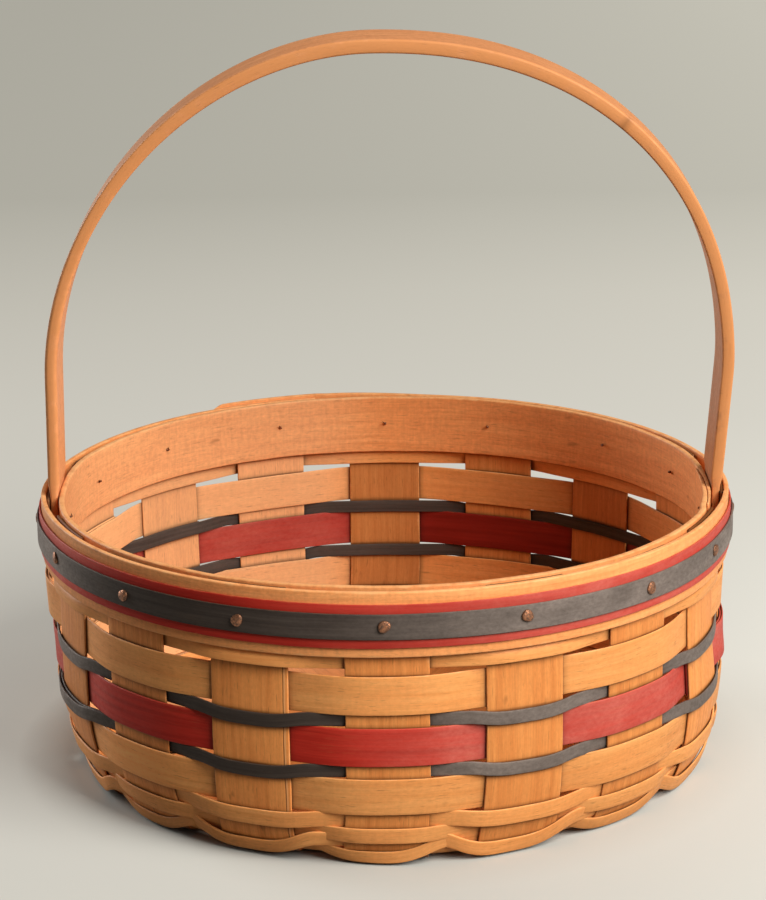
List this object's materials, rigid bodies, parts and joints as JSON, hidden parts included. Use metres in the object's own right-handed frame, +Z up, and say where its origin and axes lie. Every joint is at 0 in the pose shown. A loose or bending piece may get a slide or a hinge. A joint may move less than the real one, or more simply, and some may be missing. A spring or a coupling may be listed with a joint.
{
  "type": "splint basket",
  "caption": "Round woven splint basket with a fixed bentwood handle, dyed rows in its wall and tacked trim hoops round the rim.",
  "frame": {"origin": "centre of the base at table level", "axes": "+Z up, the handle's arch spans X, the picture's front is -Y"},
  "size_m": [0.3466, 0.3438, 0.3575],
  "materials": {
    "splint_wood": "satin varnish",
    "weaver_wood": "satin varnish",
    "red_dyed_wood": "brick-red dye under satin varnish",
    "dark_dyed_wood": "dark blue-grey dye under satin varnish",
    "copper": "browned copper"
  },
  "bodies": {
    "root": {"base_weaver_1": "weaver_wood", "base_weaver_2": "weaver_wood", "base_weaver_3": "weaver_wood", "blue_grey_trim": "dark_dyed_wood", "crossing_splint_1": "splint_wood", "crossing_splint_2": "splint_wood", "crossing_splint_3": "splint_wood", "crossing_splint_4": "splint_wood", "crossing_splint_5": "splint_wood", "crossing_splint_6": "splint_wood", "crossing_splint_7": "splint_wood", "crossing_splint_8": "splint_wood", "foot_weaver_1": "weaver_wood", "foot_weaver_2": "weaver_wood", "foot_weaver_3": "weaver_wood", "foot_weaver_4": "weaver_wood", "handle": "splint_wood", "inner_band": "splint_wood", "lower_dark_weaver": "dark_dyed_wood", "lower_wide_weaver": "weaver_wood", "outer_band": "splint_wood", "red_trim": "red_dyed_wood", "red_weaver": "red_dyed_wood", "tack_1": "copper", "tack_10": "copper", "tack_11": "copper", "tack_12": "copper", "tack_13": "copper", "tack_14": "copper", "tack_15": "copper", "tack_16": "copper", "tack_2": "copper", "tack_3": "copper", "tack_4": "copper", "tack_5": "copper", "tack_6": "copper", "tack_7": "copper", "tack_8": "copper", "tack_9": "copper", "top_weaver": "weaver_wood", "upper_dark_weaver": "dark_dyed_wood", "upper_wide_weaver": "weaver_wood"}
  },
  "joints": []
}
